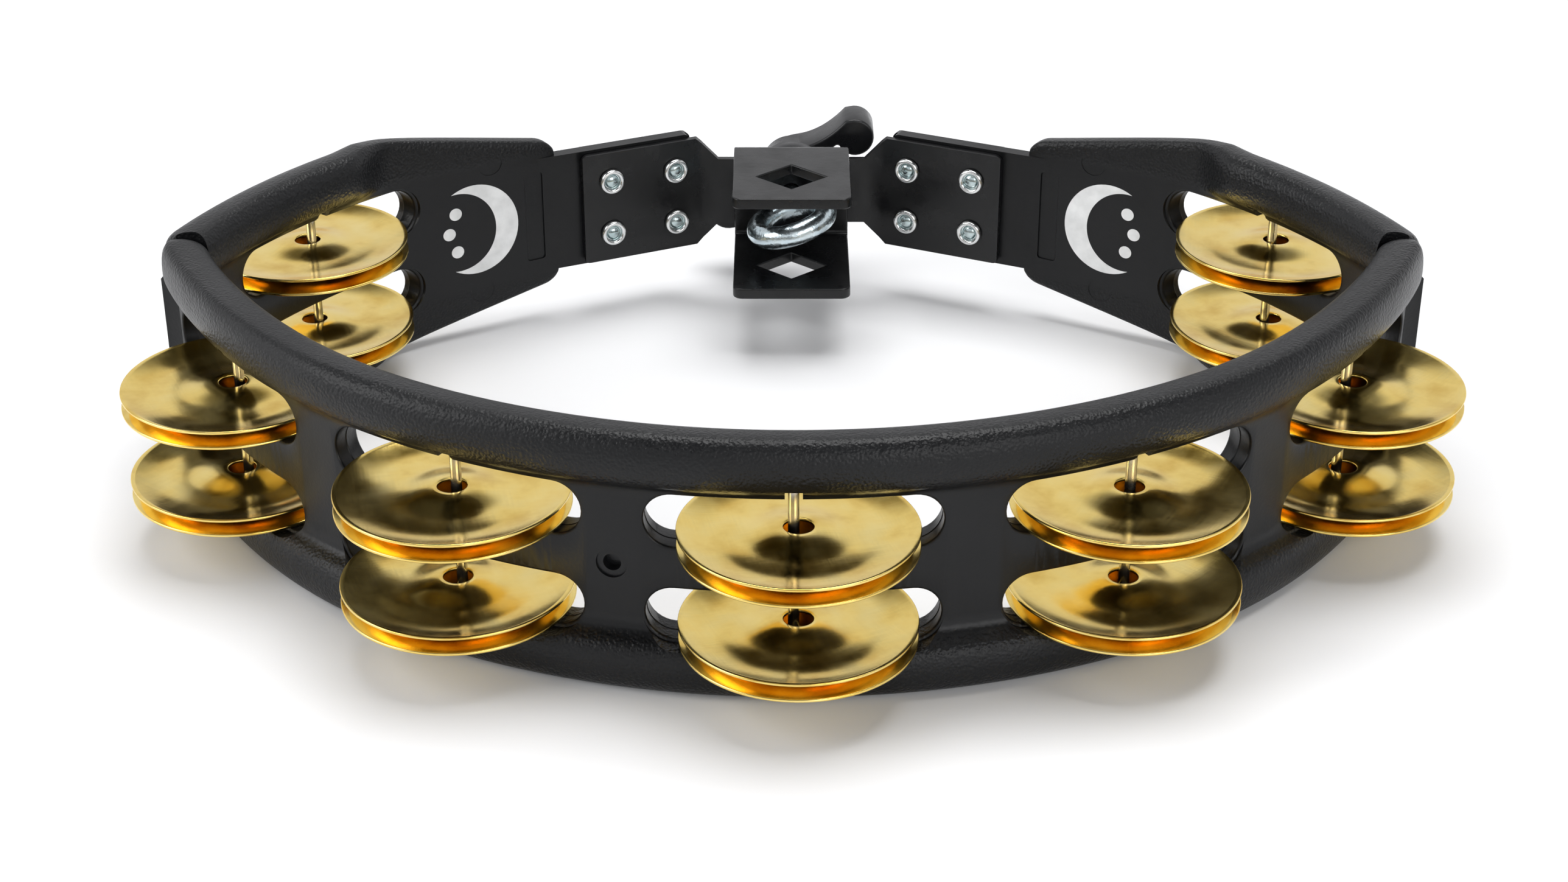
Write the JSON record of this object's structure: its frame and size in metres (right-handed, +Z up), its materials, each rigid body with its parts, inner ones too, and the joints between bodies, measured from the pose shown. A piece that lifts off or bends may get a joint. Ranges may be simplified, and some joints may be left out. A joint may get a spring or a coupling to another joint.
{
  "type": "rod-mounted tambourine",
  "caption": "Crescent tambourine with two rows of paired brass jingles in a moulded frame, on a riveted steel bracket with a rod clamp and turn handle.",
  "frame": {"origin": "below the middle of the object's box, on the plane that its lower beads rest on", "axes": "+X across the frame, +Y from the front bow to the bracket and handle, +Z up along the jingle pins"},
  "size_m": [0.3064, 0.2494, 0.0612],
  "materials": {
    "frame_plastic": "satin moulded black, the edge beads with a fine pebble grain",
    "handle_plastic": "semi-gloss moulded black",
    "black_steel": "smooth semi-gloss black powder coat",
    "brass": "polished with fine scratches",
    "pin_steel": "bright drawn wire",
    "rivet_nickel": "bright nickel plate",
    "zinc_steel": "blue-bright zinc plate, cast and slightly uneven"
  },
  "bodies": {
    "frame": {"bow": "frame_plastic", "clamp_washer": "zinc_steel", "left_backing_plate": "black_steel", "left_rivet_inner_lower": "rivet_nickel", "left_rivet_inner_upper": "rivet_nickel", "left_rivet_outer_lower": "rivet_nickel", "left_rivet_outer_upper": "rivet_nickel", "left_wing": "frame_plastic", "mount_bracket": "black_steel", "pin_bow_far_left": "pin_steel", "pin_bow_far_right": "pin_steel", "pin_bow_left": "pin_steel", "pin_bow_middle": "pin_steel", "pin_bow_right": "pin_steel", "pin_wing_left": "pin_steel", "pin_wing_right": "pin_steel", "right_backing_plate": "black_steel", "right_rivet_inner_lower": "rivet_nickel", "right_rivet_inner_upper": "rivet_nickel", "right_rivet_outer_lower": "rivet_nickel", "right_rivet_outer_upper": "rivet_nickel", "right_wing": "frame_plastic", "rod_clamp": "black_steel"},
    "handle": {"clamp_handle": "handle_plastic", "handle_insert": "zinc_steel"},
    "eye": {"eye_bolt": "zinc_steel"},
    "lower_disc_upper_bow_far_left": {"lower_disc_upper_bow_far_left": "brass"},
    "upper_disc_upper_bow_far_left": {"upper_disc_upper_bow_far_left": "brass"},
    "lower_disc_lower_bow_far_left": {"lower_disc_lower_bow_far_left": "brass"},
    "upper_disc_lower_bow_far_left": {"upper_disc_lower_bow_far_left": "brass"},
    "lower_disc_upper_bow_left": {"lower_disc_upper_bow_left": "brass"},
    "upper_disc_upper_bow_left": {"upper_disc_upper_bow_left": "brass"},
    "lower_disc_lower_bow_left": {"lower_disc_lower_bow_left": "brass"},
    "upper_disc_lower_bow_left": {"upper_disc_lower_bow_left": "brass"},
    "lower_disc_upper_bow_middle": {"lower_disc_upper_bow_middle": "brass"},
    "upper_disc_upper_bow_middle": {"upper_disc_upper_bow_middle": "brass"},
    "lower_disc_lower_bow_middle": {"lower_disc_lower_bow_middle": "brass"},
    "upper_disc_lower_bow_middle": {"upper_disc_lower_bow_middle": "brass"},
    "lower_disc_upper_bow_right": {"lower_disc_upper_bow_right": "brass"},
    "upper_disc_upper_bow_right": {"upper_disc_upper_bow_right": "brass"},
    "lower_disc_lower_bow_right": {"lower_disc_lower_bow_right": "brass"},
    "upper_disc_lower_bow_right": {"upper_disc_lower_bow_right": "brass"},
    "lower_disc_upper_bow_far_right": {"lower_disc_upper_bow_far_right": "brass"},
    "upper_disc_upper_bow_far_right": {"upper_disc_upper_bow_far_right": "brass"},
    "lower_disc_lower_bow_far_right": {"lower_disc_lower_bow_far_right": "brass"},
    "upper_disc_lower_bow_far_right": {"upper_disc_lower_bow_far_right": "brass"},
    "lower_disc_upper_wing_left": {"lower_disc_upper_wing_left": "brass"},
    "upper_disc_upper_wing_left": {"upper_disc_upper_wing_left": "brass"},
    "lower_disc_lower_wing_left": {"lower_disc_lower_wing_left": "brass"},
    "upper_disc_lower_wing_left": {"upper_disc_lower_wing_left": "brass"},
    "lower_disc_upper_wing_right": {"lower_disc_upper_wing_right": "brass"},
    "upper_disc_upper_wing_right": {"upper_disc_upper_wing_right": "brass"},
    "lower_disc_lower_wing_right": {"lower_disc_lower_wing_right": "brass"},
    "upper_disc_lower_wing_right": {"upper_disc_lower_wing_right": "brass"}
  },
  "joints": [
    {"name": "jingle_lift_upper_bow_far_left", "type": "slide", "parent": "frame", "child": "lower_disc_upper_bow_far_left", "axis": [0, 0, 1], "range_m": [0, 0.0065]},
    {"name": "jingle_spin_upper_bow_far_left", "type": "hinge", "parent": "lower_disc_upper_bow_far_left", "child": "upper_disc_upper_bow_far_left", "pos_m": [-0.12781, -0.03225, 0.0365], "axis": [0, 0, 1], "continuous": true},
    {"name": "jingle_lift_lower_bow_far_left", "type": "slide", "parent": "frame", "child": "lower_disc_lower_bow_far_left", "axis": [0, 0, 1], "range_m": [0, 0.0065]},
    {"name": "jingle_spin_lower_bow_far_left", "type": "hinge", "parent": "lower_disc_lower_bow_far_left", "child": "upper_disc_lower_bow_far_left", "pos_m": [-0.12781, -0.03225, 0.0143], "axis": [0, 0, 1], "continuous": true},
    {"name": "jingle_lift_upper_bow_left", "type": "slide", "parent": "frame", "child": "lower_disc_upper_bow_left", "axis": [0, 0, 1], "range_m": [0, 0.0065]},
    {"name": "jingle_spin_upper_bow_left", "type": "hinge", "parent": "lower_disc_upper_bow_left", "child": "upper_disc_upper_bow_left", "pos_m": [-0.07224, -0.08176, 0.0365], "axis": [0, 0, 1], "continuous": true},
    {"name": "jingle_lift_lower_bow_left", "type": "slide", "parent": "frame", "child": "lower_disc_lower_bow_left", "axis": [0, 0, 1], "range_m": [0, 0.0065]},
    {"name": "jingle_spin_lower_bow_left", "type": "hinge", "parent": "lower_disc_lower_bow_left", "child": "upper_disc_lower_bow_left", "pos_m": [-0.07224, -0.08176, 0.0143], "axis": [0, 0, 1], "continuous": true},
    {"name": "jingle_lift_upper_bow_middle", "type": "slide", "parent": "frame", "child": "lower_disc_upper_bow_middle", "axis": [0, 0, 1], "range_m": [0, 0.0065]},
    {"name": "jingle_spin_upper_bow_middle", "type": "hinge", "parent": "lower_disc_upper_bow_middle", "child": "upper_disc_upper_bow_middle", "pos_m": [0.00103, -0.09927, 0.0365], "axis": [0, 0, 1], "continuous": true},
    {"name": "jingle_lift_lower_bow_middle", "type": "slide", "parent": "frame", "child": "lower_disc_lower_bow_middle", "axis": [0, 0, 1], "range_m": [0, 0.0065]},
    {"name": "jingle_spin_lower_bow_middle", "type": "hinge", "parent": "lower_disc_lower_bow_middle", "child": "upper_disc_lower_bow_middle", "pos_m": [0.00103, -0.09927, 0.0143], "axis": [0, 0, 1], "continuous": true},
    {"name": "jingle_lift_upper_bow_right", "type": "slide", "parent": "frame", "child": "lower_disc_upper_bow_right", "axis": [0, 0, 1], "range_m": [0, 0.0065]},
    {"name": "jingle_spin_upper_bow_right", "type": "hinge", "parent": "lower_disc_upper_bow_right", "child": "upper_disc_upper_bow_right", "pos_m": [0.07116, -0.08191, 0.0365], "axis": [0, 0, 1], "continuous": true},
    {"name": "jingle_lift_lower_bow_right", "type": "slide", "parent": "frame", "child": "lower_disc_lower_bow_right", "axis": [0, 0, 1], "range_m": [0, 0.0065]},
    {"name": "jingle_spin_lower_bow_right", "type": "hinge", "parent": "lower_disc_lower_bow_right", "child": "upper_disc_lower_bow_right", "pos_m": [0.07116, -0.08191, 0.0143], "axis": [0, 0, 1], "continuous": true},
    {"name": "jingle_lift_upper_bow_far_right", "type": "slide", "parent": "frame", "child": "lower_disc_upper_bow_far_right", "axis": [0, 0, 1], "range_m": [0, 0.0065]},
    {"name": "jingle_spin_upper_bow_far_right", "type": "hinge", "parent": "lower_disc_upper_bow_far_right", "child": "upper_disc_upper_bow_far_right", "pos_m": [0.12781, -0.03225, 0.0365], "axis": [0, 0, 1], "continuous": true},
    {"name": "jingle_lift_lower_bow_far_right", "type": "slide", "parent": "frame", "child": "lower_disc_lower_bow_far_right", "axis": [0, 0, 1], "range_m": [0, 0.0065]},
    {"name": "jingle_spin_lower_bow_far_right", "type": "hinge", "parent": "lower_disc_lower_bow_far_right", "child": "upper_disc_lower_bow_far_right", "pos_m": [0.12781, -0.03225, 0.0143], "axis": [0, 0, 1], "continuous": true},
    {"name": "jingle_lift_upper_wing_left", "type": "slide", "parent": "frame", "child": "lower_disc_upper_wing_left", "axis": [0, 0, 1], "range_m": [0, 0.0065]},
    {"name": "jingle_spin_upper_wing_left", "type": "hinge", "parent": "lower_disc_upper_wing_left", "child": "upper_disc_upper_wing_left", "pos_m": [-0.1238, 0.04898, 0.0365], "axis": [0, 0, 1], "continuous": true},
    {"name": "jingle_lift_lower_wing_left", "type": "slide", "parent": "frame", "child": "lower_disc_lower_wing_left", "axis": [0, 0, 1], "range_m": [0, 0.0065]},
    {"name": "jingle_spin_lower_wing_left", "type": "hinge", "parent": "lower_disc_lower_wing_left", "child": "upper_disc_lower_wing_left", "pos_m": [-0.1238, 0.04898, 0.0143], "axis": [0, 0, 1], "continuous": true},
    {"name": "jingle_lift_upper_wing_right", "type": "slide", "parent": "frame", "child": "lower_disc_upper_wing_right", "axis": [0, 0, 1], "range_m": [0, 0.0065]},
    {"name": "jingle_spin_upper_wing_right", "type": "hinge", "parent": "lower_disc_upper_wing_right", "child": "upper_disc_upper_wing_right", "pos_m": [0.1238, 0.04898, 0.0365], "axis": [0, 0, 1], "continuous": true},
    {"name": "jingle_lift_lower_wing_right", "type": "slide", "parent": "frame", "child": "lower_disc_lower_wing_right", "axis": [0, 0, 1], "range_m": [0, 0.0065]},
    {"name": "jingle_spin_lower_wing_right", "type": "hinge", "parent": "lower_disc_lower_wing_right", "child": "upper_disc_lower_wing_right", "pos_m": [0.1238, 0.04898, 0.0143], "axis": [0, 0, 1], "continuous": true},
    {"name": "handle_turn", "type": "hinge", "parent": "frame", "child": "handle", "pos_m": [0, 0.11226, 0.0306], "axis": [0, -1, 0], "range_deg": [-1620, 1620]},
    {"name": "eye_travel", "type": "slide", "parent": "frame", "child": "eye", "axis": [0, 1, 0], "range_m": [-0.0046, 0.0046]}
  ],
  "couplings": [
    {"joint": "eye_travel", "follows": "handle_turn", "m_per_rad": 0.00015915}
  ]
}
